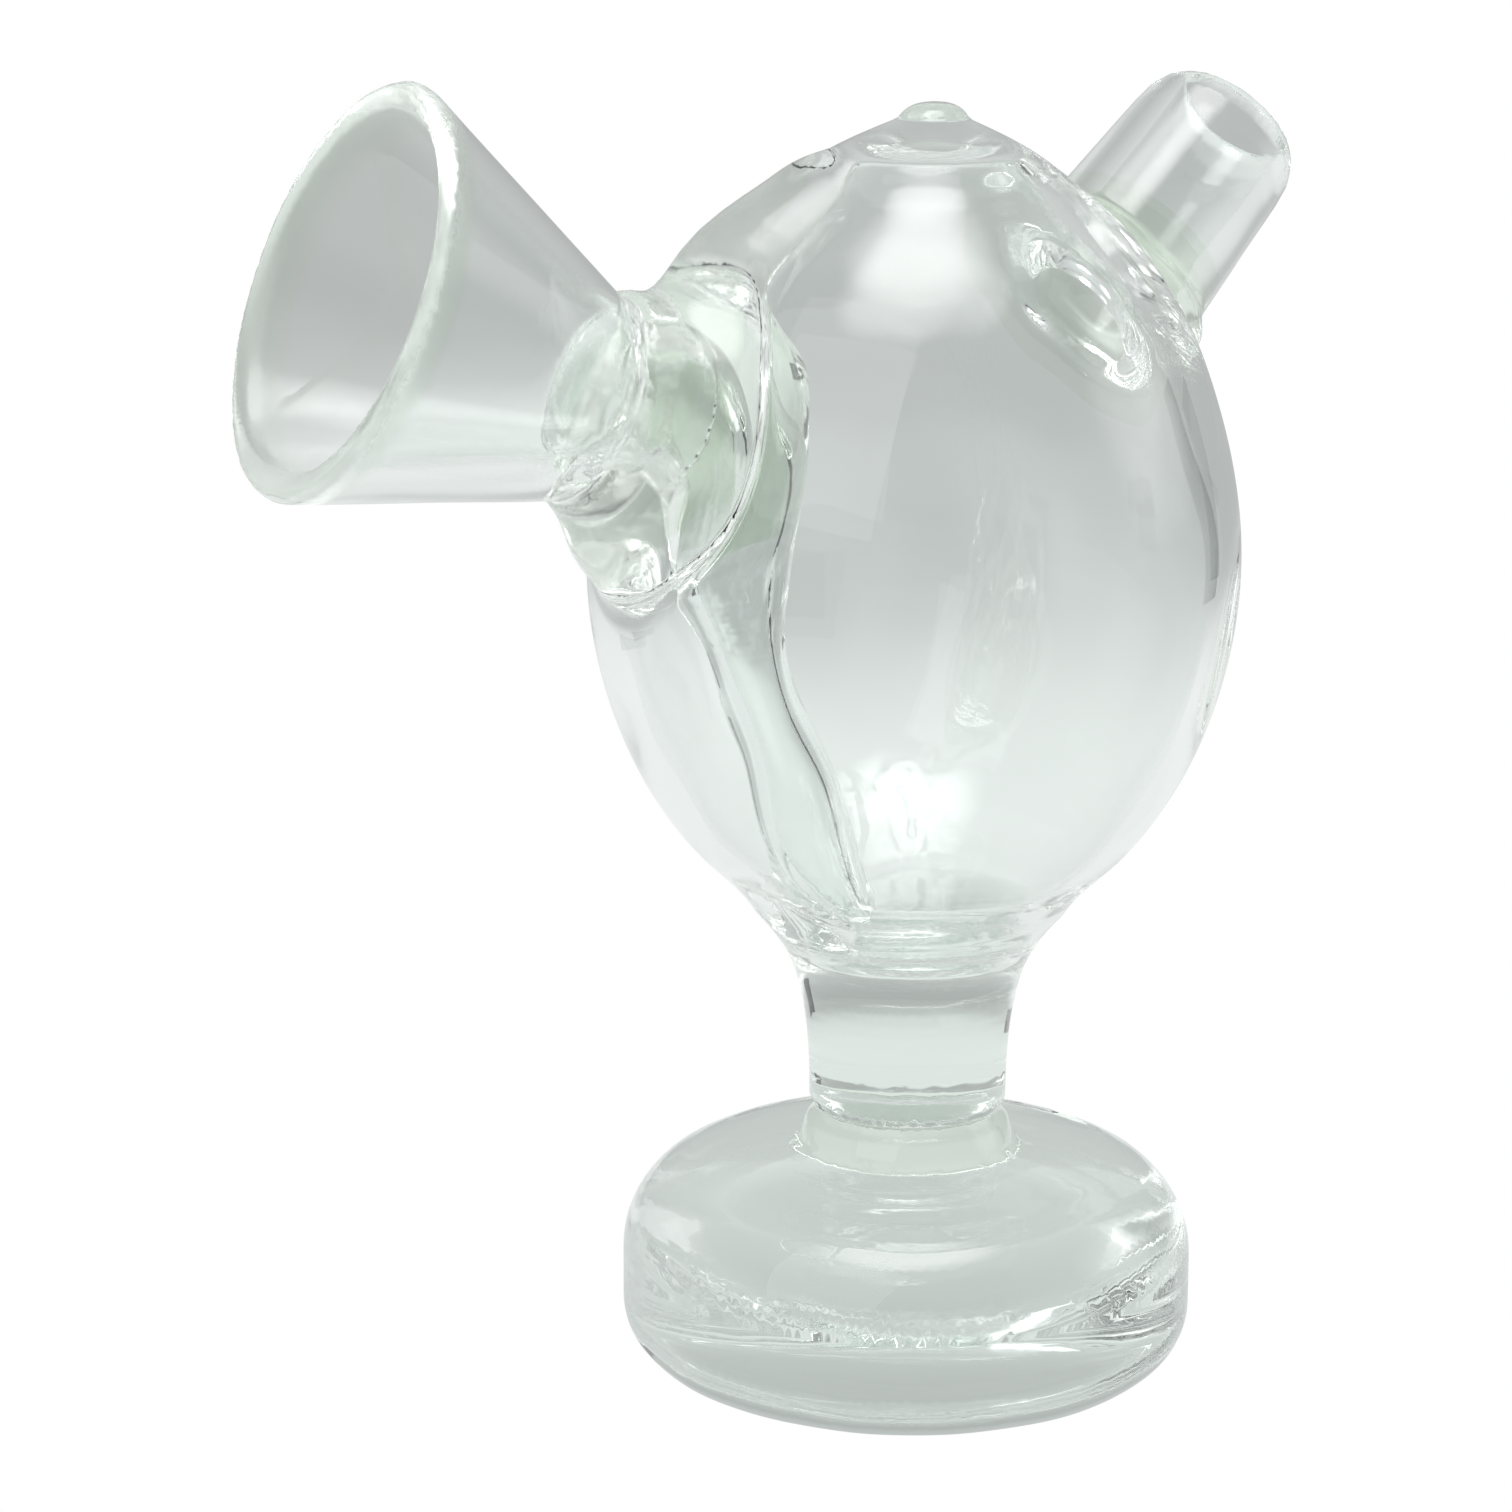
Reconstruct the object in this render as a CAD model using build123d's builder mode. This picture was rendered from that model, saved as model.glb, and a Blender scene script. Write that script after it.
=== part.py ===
from build123d import *
from math import cos, radians, sin
import os

# A small lampworked glass bubbler. Millimetres, +Z up, origin at the centre of the underside of the foot.
# The funnel points to -X and the mouthpiece to +X. Every piece meets its neighbours face to face.

# ---- Driving dimensions ----------------------------------------------------------------------------
FOOT_RADIUS = 19.0
FOOT_LOWER_ROUND = 4.2
FOOT_WALL_TOP = 7.6
FOOT_UPPER_ROUND = 6.5
FOOT_UPPER_ROUND_SWEEP = 72.0
FOOT_TOP = 14.8
BOSS_RADIUS = 7.2
BOSS_TOP = 17.3
RING_TOP = 17.7
RING_RADIUS = 6.0

STEM_RADIUS = 6.55
STEM_TOP = 26.5
STEM_TOP_RADIUS = 7.42
FLOOR_TOP = 31.2
FLOOR_TOP_RADIUS = 10.35
FLOOR_DISH_DEPTH = 0.9

BODY_RADIUS = 21.25
BODY_WIDEST = 55.0
BODY_TOP = 82.8
BODY_TOP_RADIUS = 2.3
WALL = 1.8
APEX_TOP = 83.9

FUNNEL_TILT = 21.4
FUNNEL_BASE_X = -22.9
FUNNEL_BASE_Z = 67.4
FUNNEL_LENGTH = 18.5
FUNNEL_SMALL_RADIUS = 6.6
FUNNEL_MOUTH_RADIUS = 13.2
FUNNEL_DROP = 1.2
HOLLOW_DROP = 0.6
HOLLOW_NECK_RADIUS = 5.2
LIP_ROUND = 1.05
THROAT_RADIUS = 3.0
THROAT_LENGTH = 2.4

COLLAR_RADIUS = 8.3
COLLAR_LENGTH = 9.0
COLLAR_SMALL_RADIUS = 7.0
COLLAR_EDGE = 0.4
COLLAR_WAIST = 4.0
COLLAR_WAIST_RADIUS = 7.8
TONGUE_RADIUS = 4.4
TONGUE_FROM_AXIS = 20.2
TONGUE_HEIGHT = 58.6

DOWNSTEM_START = 3.2
ELBOW_RADIUS = 5.4
ELBOW_FROM_AXIS = 13.9
ELBOW_HEIGHT = 66.2
HEEL_RADIUS = 6.7
HEEL_DEPTH = 7.2
HEEL_DROP = 2.6

MOUTHPIECE_TILT = 42.4
MOUTHPIECE_YAW = 10.0
MOUTHPIECE_BASE_RADIUS = 14.2
MOUTHPIECE_BASE_Z = 69.2
MOUTHPIECE_LENGTH = 18.2
MOUTHPIECE_LARGE_RADIUS = 6.7
MOUTHPIECE_SMALL_RADIUS = 5.7
MOUTHPIECE_BORE_RADIUS = 3.9
MOUTHPIECE_END_ROUND = 2.8
MOUTHPIECE_LIP = 0.6
BORE_START = 3.0
BORE_END = 17.5
BORE_FLARE_RADIUS = 5.4
WELD_RADIUS = 8.8
WELD_HEIGHT = 6.4
WELD_WAIST = 2.6
WELD_WAIST_RADIUS = 7.2

BEAD_RADIUS = 6.0

PARTS = "parts"
os.makedirs(PARTS, exist_ok=True)


# ---- Frames of the two slanted branches --------------------------------------------------------------
FUNNEL_BASE = Vector(FUNNEL_BASE_X, 0, FUNNEL_BASE_Z)
FUNNEL_DIR = Vector(-cos(radians(FUNNEL_TILT)), 0, sin(radians(FUNNEL_TILT)))
FUNNEL_FRAME = Plane(origin=FUNNEL_BASE, x_dir=FUNNEL_DIR, z_dir=(0, 1, 0))
FUNNEL_UP = FUNNEL_FRAME.y_dir
FUNNEL_AXIS = Axis(FUNNEL_BASE, FUNNEL_DIR)
# The collar and the outer small end of the cone sit a little below the axis of the lip.
COLLAR_BASE = FUNNEL_BASE - FUNNEL_UP * FUNNEL_DROP
COLLAR_FRAME = Plane(origin=COLLAR_BASE, x_dir=FUNNEL_DIR, z_dir=(0, 1, 0))
COLLAR_AXIS = Axis(COLLAR_BASE, FUNNEL_DIR)

YAW_COS = cos(radians(MOUTHPIECE_YAW))
YAW_SIN = sin(radians(MOUTHPIECE_YAW))
TILT_COS = cos(radians(MOUTHPIECE_TILT))
TILT_SIN = sin(radians(MOUTHPIECE_TILT))
MOUTHPIECE_BASE = Vector(
    MOUTHPIECE_BASE_RADIUS * YAW_COS, MOUTHPIECE_BASE_RADIUS * YAW_SIN, MOUTHPIECE_BASE_Z
)
MOUTHPIECE_DIR = Vector(TILT_COS * YAW_COS, TILT_COS * YAW_SIN, TILT_SIN)
MOUTHPIECE_FRAME = Plane(origin=MOUTHPIECE_BASE, x_dir=MOUTHPIECE_DIR, z_dir=(YAW_SIN, -YAW_COS, 0))
MOUTHPIECE_AXIS = Axis(MOUTHPIECE_BASE, MOUTHPIECE_DIR)

# Inner end of the mouthpiece tool, well inside the hollow body, and where the end of the tube turns round.
ROOT = -9.3
ROUND_START = MOUTHPIECE_LENGTH - MOUTHPIECE_END_ROUND

# Outside and inside of the blown body as (radius, height): the shape from the floor to the apex.
BODY_OUTSIDE = [
    (FLOOR_TOP_RADIUS, FLOOR_TOP),
    (14.3, 35.4),
    (18.6, 42.0),
    (BODY_RADIUS, BODY_WIDEST),
    (19.4, 65.0),
    (13.9, 75.0),
    (8.6, 79.4),
    (BODY_TOP_RADIUS, BODY_TOP),
]
CAVITY_FOOT_RADIUS = 7.6
CAVITY_FOOT = 31.2
CAVITY_TOP = 80.4
BODY_INSIDE = [
    (CAVITY_FOOT_RADIUS, CAVITY_FOOT),
    (12.5, 36.0),
    (16.9, 42.8),
    (BODY_RADIUS - WALL, BODY_WIDEST),
    (17.7, 64.2),
    (12.5, 73.6),
    (6.6, 78.4),
    (0.0, CAVITY_TOP),
]

# Centre line of the downstem with its outer and inner radius: (distance from Z, height, outer, inner).
DOWNSTEM_STATIONS = [
    (16.9, 65.0, 5.7, 3.5),
    (14.5, 62.5, 5.3, 3.4),
    (13.6, 58.7, 4.6, 2.9),
    (13.2, 54.6, 3.9, 2.3),
    (12.1, 50.0, 2.95, 1.6),
    (11.0, 44.6, 2.85, 1.55),
    (9.0, 38.8, 2.8, 1.5),
    (6.4, 33.9, 2.75, 1.45),
]

# Centre line of the bead of glass that runs under the shoulder from the collar towards the apex. Only the
# crest of the round bead stands out of the body: (distance from Z, height).
BEAD_ROUTE = [(13.4, 68.7), (10.7, 72.0), (6.0, 74.9)]


def mouthpiece_radius(along):
    """Outer radius of the tapered mouthpiece at a distance along its axis."""
    taper = (MOUTHPIECE_SMALL_RADIUS - MOUTHPIECE_LARGE_RADIUS) / MOUTHPIECE_LENGTH
    return MOUTHPIECE_LARGE_RADIUS + taper * along


def funnel_plane(along, drop):
    """Plane square to the funnel, at a distance from its base and a drop below its axis."""
    origin = FUNNEL_BASE + FUNNEL_DIR * along - FUNNEL_UP * drop
    return Plane(origin=origin, x_dir=(0, 1, 0), z_dir=FUNNEL_DIR)


def station_plane(index, stations):
    """Plane square to the centre line at one station of the downstem."""
    before = stations[max(index - 1, 0)]
    after = stations[min(index + 1, len(stations) - 1)]
    here = stations[index]
    direction = Vector(-(after[0] - before[0]), 0, after[1] - before[1])
    return Plane(origin=(-here[0], 0, here[1]), x_dir=(0, 1, 0), z_dir=direction)


def downstem_sections():
    """Planes and radii from the flat end in the collar to the open lower end."""
    start = FUNNEL_BASE - FUNNEL_DIR * DOWNSTEM_START
    first = (-start.X, start.Z, DOWNSTEM_STATIONS[0][2], DOWNSTEM_STATIONS[0][3])
    stations = [first] + DOWNSTEM_STATIONS
    planes = [Plane(origin=start, x_dir=(0, 1, 0), z_dir=FUNNEL_DIR * -1)]
    planes += [station_plane(index, stations) for index in range(1, len(stations))]
    return [(plane, outer, inner) for plane, (_, _, outer, inner) in zip(planes, stations)]


# ---- Tools that shape the mating faces ---------------------------------------------------------------
with BuildPart() as body_form:
    with BuildSketch(Plane.XZ):
        with BuildLine():
            Spline(*BODY_OUTSIDE, tangents=((0.6, 1.0), (-1.0, 0.42)))
            Polyline((BODY_TOP_RADIUS, BODY_TOP), (0, BODY_TOP), (0, FLOOR_TOP), (FLOOR_TOP_RADIUS, FLOOR_TOP))
        make_face()
    revolve(axis=Axis.Z)

with BuildPart() as cavity_form:
    with BuildSketch(Plane.XZ):
        with BuildLine():
            Spline(*BODY_INSIDE, tangents=((0.8, 1.0), (-1.0, 0.0)))
            Line((0, CAVITY_TOP), (0, CAVITY_FOOT - FLOOR_DISH_DEPTH))
            ThreePointArc(
                (0, CAVITY_FOOT - FLOOR_DISH_DEPTH),
                (CAVITY_FOOT_RADIUS * 0.6, CAVITY_FOOT - FLOOR_DISH_DEPTH * 0.7),
                (CAVITY_FOOT_RADIUS, CAVITY_FOOT),
            )
        make_face()
    revolve(axis=Axis.Z)

with BuildPart() as downstem_form:
    for section_plane, outer_radius, _ in downstem_sections():
        with BuildSketch(section_plane):
            Circle(outer_radius)
    loft()
    with Locations((-ELBOW_FROM_AXIS, 0, ELBOW_HEIGHT)):
        Sphere(ELBOW_RADIUS)

with BuildPart() as mouthpiece_form:
    with BuildSketch(MOUTHPIECE_FRAME):
        with BuildLine():
            Polyline(
                (ROOT, 0),
                (ROOT, mouthpiece_radius(ROOT)),
                (MOUTHPIECE_LENGTH, MOUTHPIECE_SMALL_RADIUS),
                (MOUTHPIECE_LENGTH, 0),
                close=True,
            )
        make_face()
    revolve(axis=MOUTHPIECE_AXIS)


# ---- Foot and stem -----------------------------------------------------------------------------------
with BuildPart() as foot:
    with BuildSketch(Plane.XZ):
        with BuildLine():
            full = radians(FOOT_UPPER_ROUND_SWEEP)
            half = full / 2
            centre_r = FOOT_RADIUS - FOOT_UPPER_ROUND
            shoulder = (
                centre_r + FOOT_UPPER_ROUND * cos(full),
                FOOT_WALL_TOP + FOOT_UPPER_ROUND * sin(full),
            )
            Line((0, 0), (FOOT_RADIUS - FOOT_LOWER_ROUND, 0))
            RadiusArc(
                (FOOT_RADIUS - FOOT_LOWER_ROUND, 0), (FOOT_RADIUS, FOOT_LOWER_ROUND), -FOOT_LOWER_ROUND
            )
            Line((FOOT_RADIUS, FOOT_LOWER_ROUND), (FOOT_RADIUS, FOOT_WALL_TOP))
            ThreePointArc(
                (FOOT_RADIUS, FOOT_WALL_TOP),
                (centre_r + FOOT_UPPER_ROUND * cos(half), FOOT_WALL_TOP + FOOT_UPPER_ROUND * sin(half)),
                shoulder,
            )
            Spline(shoulder, (BOSS_RADIUS, FOOT_TOP), tangents=((-1.0, 0.32), (-1.0, 0.05)))
            Polyline((BOSS_RADIUS, FOOT_TOP), (0, FOOT_TOP), (0, 0))
        make_face()
    revolve(axis=Axis.Z)
foot.part.label = "foot"

with BuildPart() as stem_weld:
    with BuildSketch(Plane.XZ):
        with BuildLine():
            Line((0, FOOT_TOP), (BOSS_RADIUS, FOOT_TOP))
            Spline(
                (BOSS_RADIUS, FOOT_TOP), (STEM_RADIUS, BOSS_TOP), tangents=((0.1, 1.0), (-0.15, 1.0))
            )
            Polyline(
                (STEM_RADIUS, BOSS_TOP),
                (RING_RADIUS, (BOSS_TOP + RING_TOP) / 2),
                (STEM_RADIUS, RING_TOP),
                (0, RING_TOP),
                (0, FOOT_TOP),
            )
        make_face()
    revolve(axis=Axis.Z)
stem_weld.part.label = "stem_weld"

with BuildPart() as stem:
    with BuildSketch(Plane.XZ):
        with BuildLine():
            Line((0, RING_TOP), (STEM_RADIUS, RING_TOP))
            Spline(
                (STEM_RADIUS, RING_TOP),
                (STEM_RADIUS + 0.02, 20.0),
                (STEM_TOP_RADIUS, STEM_TOP),
                tangents=((0.0, 1.0), (0.28, 1.0)),
            )
            Polyline((STEM_TOP_RADIUS, STEM_TOP), (0, STEM_TOP), (0, RING_TOP))
        make_face()
    revolve(axis=Axis.Z)
stem.part.label = "stem"

with BuildPart() as chamber_floor:
    with BuildSketch(Plane.XZ):
        with BuildLine():
            Line((0, STEM_TOP), (STEM_TOP_RADIUS, STEM_TOP))
            Spline(
                (STEM_TOP_RADIUS, STEM_TOP),
                (FLOOR_TOP_RADIUS, FLOOR_TOP),
                tangents=((0.28, 1.0), (0.95, 1.0)),
            )
            Polyline((FLOOR_TOP_RADIUS, FLOOR_TOP), (0, FLOOR_TOP), (0, STEM_TOP))
        make_face()
    revolve(axis=Axis.Z)
    add(cavity_form.part, mode=Mode.SUBTRACT)
chamber_floor.part.label = "chamber_floor"


# ---- Blown body ----------------------------------------------------------------------------------------
with BuildPart() as chamber:
    add(body_form.part)
    add(cavity_form.part, mode=Mode.SUBTRACT)
    add(downstem_form.part, mode=Mode.SUBTRACT)
    add(mouthpiece_form.part, mode=Mode.SUBTRACT)
chamber.part.label = "chamber"

with BuildPart() as apex_bead:
    with BuildSketch(Plane.XZ):
        with BuildLine():
            Line((0, BODY_TOP), (BODY_TOP_RADIUS, BODY_TOP))
            Spline(
                (BODY_TOP_RADIUS, BODY_TOP), (0, APEX_TOP), tangents=((-0.5, 1.0), (-1.0, 0.0))
            )
            Line((0, APEX_TOP), (0, BODY_TOP))
        make_face()
    revolve(axis=Axis.Z)
apex_bead.part.label = "apex_bead"


# ---- Funnel side ---------------------------------------------------------------------------------------
with BuildPart() as funnel:
    straight = FUNNEL_LENGTH - LIP_ROUND
    inner_mouth = FUNNEL_MOUTH_RADIUS - 2 * LIP_ROUND
    with BuildSketch(funnel_plane(0, FUNNEL_DROP)):
        Circle(FUNNEL_SMALL_RADIUS)
    with BuildSketch(funnel_plane(straight, 0)):
        Circle(FUNNEL_MOUTH_RADIUS)
    loft()
    with BuildSketch(FUNNEL_FRAME):
        with BuildLine():
            ThreePointArc(
                (straight, FUNNEL_MOUTH_RADIUS),
                (FUNNEL_LENGTH, FUNNEL_MOUTH_RADIUS - LIP_ROUND),
                (straight, inner_mouth),
            )
            Line((straight, inner_mouth), (straight, FUNNEL_MOUTH_RADIUS))
        make_face()
    revolve(axis=FUNNEL_AXIS)
    with BuildSketch(funnel_plane(THROAT_LENGTH, HOLLOW_DROP)):
        Circle(HOLLOW_NECK_RADIUS)
    with BuildSketch(funnel_plane(straight, 0)):
        Circle(inner_mouth)
    loft(mode=Mode.SUBTRACT)
    with BuildSketch(funnel_plane(0, 0)):
        Circle(THROAT_RADIUS)
    with BuildSketch(funnel_plane(THROAT_LENGTH, HOLLOW_DROP)):
        Circle(HOLLOW_NECK_RADIUS)
    loft(mode=Mode.SUBTRACT)
funnel.part.label = "funnel"

with BuildPart() as funnel_weld:
    with BuildSketch(COLLAR_FRAME):
        with BuildLine():
            Polyline((0, 0), (0, COLLAR_SMALL_RADIUS), (-COLLAR_EDGE, COLLAR_SMALL_RADIUS))
            Spline(
                (-COLLAR_EDGE, COLLAR_SMALL_RADIUS),
                (-COLLAR_WAIST, COLLAR_WAIST_RADIUS),
                (-COLLAR_LENGTH, COLLAR_RADIUS),
                tangents=((-1.0, 0.1), (-1.0, 0.0)),
            )
            Polyline((-COLLAR_LENGTH, COLLAR_RADIUS), (-COLLAR_LENGTH, 0), (0, 0))
        make_face()
    revolve(axis=COLLAR_AXIS)
    with Locations((-TONGUE_FROM_AXIS, 0, TONGUE_HEIGHT)):
        Sphere(TONGUE_RADIUS)
    with BuildSketch(Plane(origin=FUNNEL_BASE, x_dir=(0, 1, 0), z_dir=FUNNEL_DIR * -1)):
        Circle(THROAT_RADIUS)
    extrude(amount=DOWNSTEM_START, mode=Mode.SUBTRACT)
    add(body_form.part, mode=Mode.SUBTRACT)
    add(downstem_form.part, mode=Mode.SUBTRACT)
funnel_weld.part.label = "funnel_weld"

with BuildPart() as shoulder_bead:
    with BuildLine(Plane.XZ) as bead_route:
        Spline(*[(-distance, height) for distance, height in BEAD_ROUTE])
    with BuildSketch(Plane(origin=bead_route.line @ 0, z_dir=bead_route.line % 0)):
        Circle(BEAD_RADIUS)
    sweep(path=bead_route.line)
    with Locations(bead_route.line @ 1):
        Sphere(BEAD_RADIUS)
    add(body_form.part, mode=Mode.SUBTRACT)
    add(downstem_form.part, mode=Mode.SUBTRACT)
    add(funnel_weld.part, mode=Mode.SUBTRACT)
    add(funnel.part, mode=Mode.SUBTRACT)
shoulder_bead.part.label = "shoulder_bead"

with BuildPart() as downstem:
    add(downstem_form.part)
    for section_plane, _, inner_radius in downstem_sections():
        with BuildSketch(section_plane):
            Circle(inner_radius)
    loft(mode=Mode.SUBTRACT)
downstem.part.label = "downstem"

with BuildPart() as downstem_weld:
    heel = FUNNEL_BASE - FUNNEL_DIR * HEEL_DEPTH + Vector(0, 0, -HEEL_DROP)
    with Locations(heel):
        Sphere(HEEL_RADIUS)
    add(cavity_form.part, mode=Mode.INTERSECT)
    add(downstem_form.part, mode=Mode.SUBTRACT)
downstem_weld.part.label = "downstem_weld"


# ---- Mouthpiece side -------------------------------------------------------------------------------------
with BuildPart() as mouthpiece:
    with BuildSketch(MOUTHPIECE_FRAME):
        with BuildLine():
            Line((ROOT, BORE_FLARE_RADIUS), (ROOT, mouthpiece_radius(ROOT)))
            Line((ROOT, mouthpiece_radius(ROOT)), (ROUND_START, mouthpiece_radius(ROUND_START)))
            Spline(
                (ROUND_START, mouthpiece_radius(ROUND_START)),
                (MOUTHPIECE_LENGTH, MOUTHPIECE_BORE_RADIUS + MOUTHPIECE_LIP),
                (BORE_END, MOUTHPIECE_BORE_RADIUS),
                tangents=((1.0, 0.0), (-1.0, 0.0)),
            )
            Polyline(
                (BORE_END, MOUTHPIECE_BORE_RADIUS),
                (BORE_START, MOUTHPIECE_BORE_RADIUS),
                (-BORE_START, BORE_FLARE_RADIUS),
                (ROOT, BORE_FLARE_RADIUS),
            )
        make_face()
    revolve(axis=MOUTHPIECE_AXIS)
    add(cavity_form.part, mode=Mode.SUBTRACT)
mouthpiece.part.label = "mouthpiece"

with BuildPart() as mouthpiece_weld:
    with BuildSketch(MOUTHPIECE_FRAME):
        with BuildLine():
            Spline(
                (WELD_HEIGHT, mouthpiece_radius(WELD_HEIGHT)),
                (WELD_WAIST, WELD_WAIST_RADIUS),
                (-WELD_HEIGHT, WELD_RADIUS),
                tangents=((-1.0, 0.0), (-1.0, 0.5)),
            )
            Polyline(
                (-WELD_HEIGHT, WELD_RADIUS),
                (-WELD_HEIGHT, 0),
                (WELD_HEIGHT, 0),
                (WELD_HEIGHT, mouthpiece_radius(WELD_HEIGHT)),
            )
        make_face()
    revolve(axis=MOUTHPIECE_AXIS)
    add(body_form.part, mode=Mode.SUBTRACT)
    add(mouthpiece_form.part, mode=Mode.SUBTRACT)
mouthpiece_weld.part.label = "mouthpiece_weld"

PIECES = [foot, stem_weld, stem, chamber_floor, chamber, apex_bead, funnel, funnel_weld]
PIECES += [shoulder_bead, downstem, downstem_weld, mouthpiece, mouthpiece_weld]
for piece in PIECES:
    export_step(piece.part, f"{PARTS}/{piece.part.label}.step")
    print(piece.part.label, round(piece.part.volume, 1), len(piece.part.solids()), piece.part.is_valid)
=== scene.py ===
import math

import bpy
import numpy as np
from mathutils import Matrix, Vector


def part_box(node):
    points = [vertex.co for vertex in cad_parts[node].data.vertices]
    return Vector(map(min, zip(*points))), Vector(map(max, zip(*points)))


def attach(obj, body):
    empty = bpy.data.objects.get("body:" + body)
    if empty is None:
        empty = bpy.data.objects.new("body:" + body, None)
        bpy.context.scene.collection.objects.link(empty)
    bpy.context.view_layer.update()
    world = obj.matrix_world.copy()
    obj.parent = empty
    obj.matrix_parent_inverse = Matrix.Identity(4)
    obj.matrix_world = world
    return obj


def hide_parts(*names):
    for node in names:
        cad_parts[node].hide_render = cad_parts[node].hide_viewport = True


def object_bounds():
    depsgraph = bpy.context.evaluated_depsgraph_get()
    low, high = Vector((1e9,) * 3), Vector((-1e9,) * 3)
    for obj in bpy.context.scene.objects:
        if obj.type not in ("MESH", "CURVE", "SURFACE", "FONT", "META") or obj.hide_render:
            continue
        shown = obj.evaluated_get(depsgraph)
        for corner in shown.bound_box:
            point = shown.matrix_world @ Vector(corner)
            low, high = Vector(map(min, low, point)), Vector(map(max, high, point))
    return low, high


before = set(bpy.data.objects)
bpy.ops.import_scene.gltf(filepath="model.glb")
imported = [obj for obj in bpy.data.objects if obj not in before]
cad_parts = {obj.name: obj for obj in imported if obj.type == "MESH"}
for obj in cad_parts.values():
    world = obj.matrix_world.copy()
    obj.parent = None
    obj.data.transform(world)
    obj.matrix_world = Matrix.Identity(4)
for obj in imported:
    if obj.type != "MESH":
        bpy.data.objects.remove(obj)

import openvdb
from mathutils import Matrix, Vector
from mathutils.bvhtree import BVHTree
from mathutils.geometry import delaunay_2d_cdt

# The object is one piece of fused glass. Its shape is worked out here as one signed distance field, in
# millimetres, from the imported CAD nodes, turned into one mesh, and cut into the pieces that the CAD names.
cad_low, cad_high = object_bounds()
MM = 0.001


def node_mm(name):
    """Lowest and highest corner of a CAD node, in millimetres."""
    low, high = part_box(name)
    return np.array(low) / MM, np.array(high) / MM


# ---- Places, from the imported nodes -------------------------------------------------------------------
FOOT_TOP = float(node_mm("stem_weld")[0][2])
RING_TOP = float(node_mm("stem")[0][2])
STEM_TOP = float(node_mm("chamber_floor")[0][2])
FLOOR_TOP = float(node_mm("chamber")[0][2])
BODY_TOP = float(node_mm("apex_bead")[0][2])
APEX_TOP = float(node_mm("apex_bead")[1][2])

# ---- Dimensions, in millimetres ----------------------------------------------------------------------
# The two slanted branches and the inner tube repeat the dimensions of the CAD.
UP = np.array((0.0, 0.0, 1.0))
FUNNEL_TILT = math.radians(21.4)
FUNNEL_BASE = np.array((-22.9, 0.0, 67.4))
FUNNEL_DIR = np.array((-math.cos(FUNNEL_TILT), 0.0, math.sin(FUNNEL_TILT)))
FUNNEL_UP = np.array((math.sin(FUNNEL_TILT), 0.0, math.cos(FUNNEL_TILT)))
MOUTH_TILT = math.radians(42.4)
MOUTH_YAW = math.radians(10.0)
MOUTH_FLAT = np.array((math.cos(MOUTH_YAW), math.sin(MOUTH_YAW), 0.0))
MOUTH_BASE = 14.2 * MOUTH_FLAT + np.array((0.0, 0.0, 69.2))
MOUTH_DIR = math.cos(MOUTH_TILT) * MOUTH_FLAT + np.array((0.0, 0.0, math.sin(MOUTH_TILT)))

# Outlines as (along the axis, radius). The small end of the cone and its hollow lie below the lip's axis.
FUNNEL_DROP = 1.2
HOLLOW_DROP = 0.6
LIP_AT = 17.45
CONE_OUTSIDE = [(-6.0, 0.0), (-6.0, 4.0), (-2.0, 5.4), (0.0, 6.45), (17.45, 13.15), (17.9, 13.25),
                (18.3, 12.95), (18.5, 12.3), (18.4, 11.7), (18.0, 0.0)]
CONE_INSIDE = [(-4.0, 0.0), (-4.0, 3.0), (-3.0, 3.05), (-1.5, 3.5), (0.0, 4.2), (1.2, 4.75), (2.6, 5.3),
               (15.6, 10.35), (17.45, 11.05), (18.3, 11.6), (18.9, 12.9), (24.0, 16.0), (24.0, 0.0)]
COLLAR_OUTSIDE = [(-12.0, 0.0), (-12.0, 8.3), (-9.0, 8.3), (-6.5, 8.15), (-4.0, 7.8), (-1.6, 7.25),
                  (-0.4, 6.9), (0.0, 6.4), (0.0, 0.0)]
MOUTH_OUTSIDE = [(-4.0, 0.0), (-4.0, 6.9), (0.0, 6.7), (14.8, 5.9), (16.2, 5.75), (17.3, 5.3), (18.0, 4.65),
                 (18.2, 4.2), (18.2, 0.0)]
MOUTH_INSIDE = [(-9.0, 0.0), (-9.0, 5.6), (-3.0, 5.4), (0.0, 4.7), (3.0, 3.95), (17.0, 3.9), (17.7, 4.05),
                (18.3, 4.6), (20.0, 4.9), (24.0, 4.9), (24.0, 0.0)]

# The ring of glass round the mouthpiece's foot: place along the axis, distance from it, thickness.
RING_ALONG, RING_AWAY, RING_RADIUS = 3.0, 6.4, 1.0

# Centre line of the inner tube with its outer and inner radius: (distance from Z, height, outer, inner).
TUBE = [(20.6, 66.5, 5.4, 3.1), (16.9, 65.0, 5.7, 3.5), (14.5, 62.5, 5.3, 3.4), (13.6, 58.7, 4.6, 2.9),
        (13.2, 54.6, 3.9, 2.3), (12.1, 50.0, 2.8, 1.55), (10.6, 44.6, 2.75, 1.5), (7.9, 38.0, 2.7, 1.5),
        (4.8, 31.8, 2.65, 1.45)]
TUBE_BOX_MIDDLE = np.array((-13.0, 0.0, 50.0))
TUBE_BOX_HALF = np.array((14.0, 10.0, 24.0))
TUBE_BOX_MARGIN = 3.0
HEEL_DEPTH, HEEL_DROP, HEEL_RADIUS = 7.2, 2.6, 6.7
HEEL = FUNNEL_BASE - HEEL_DEPTH * FUNNEL_DIR - np.array((0.0, 0.0, HEEL_DROP))
ELBOW = np.array((-14.0, 0.0, 66.4))
ELBOW_RADIUS = 5.5
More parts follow.
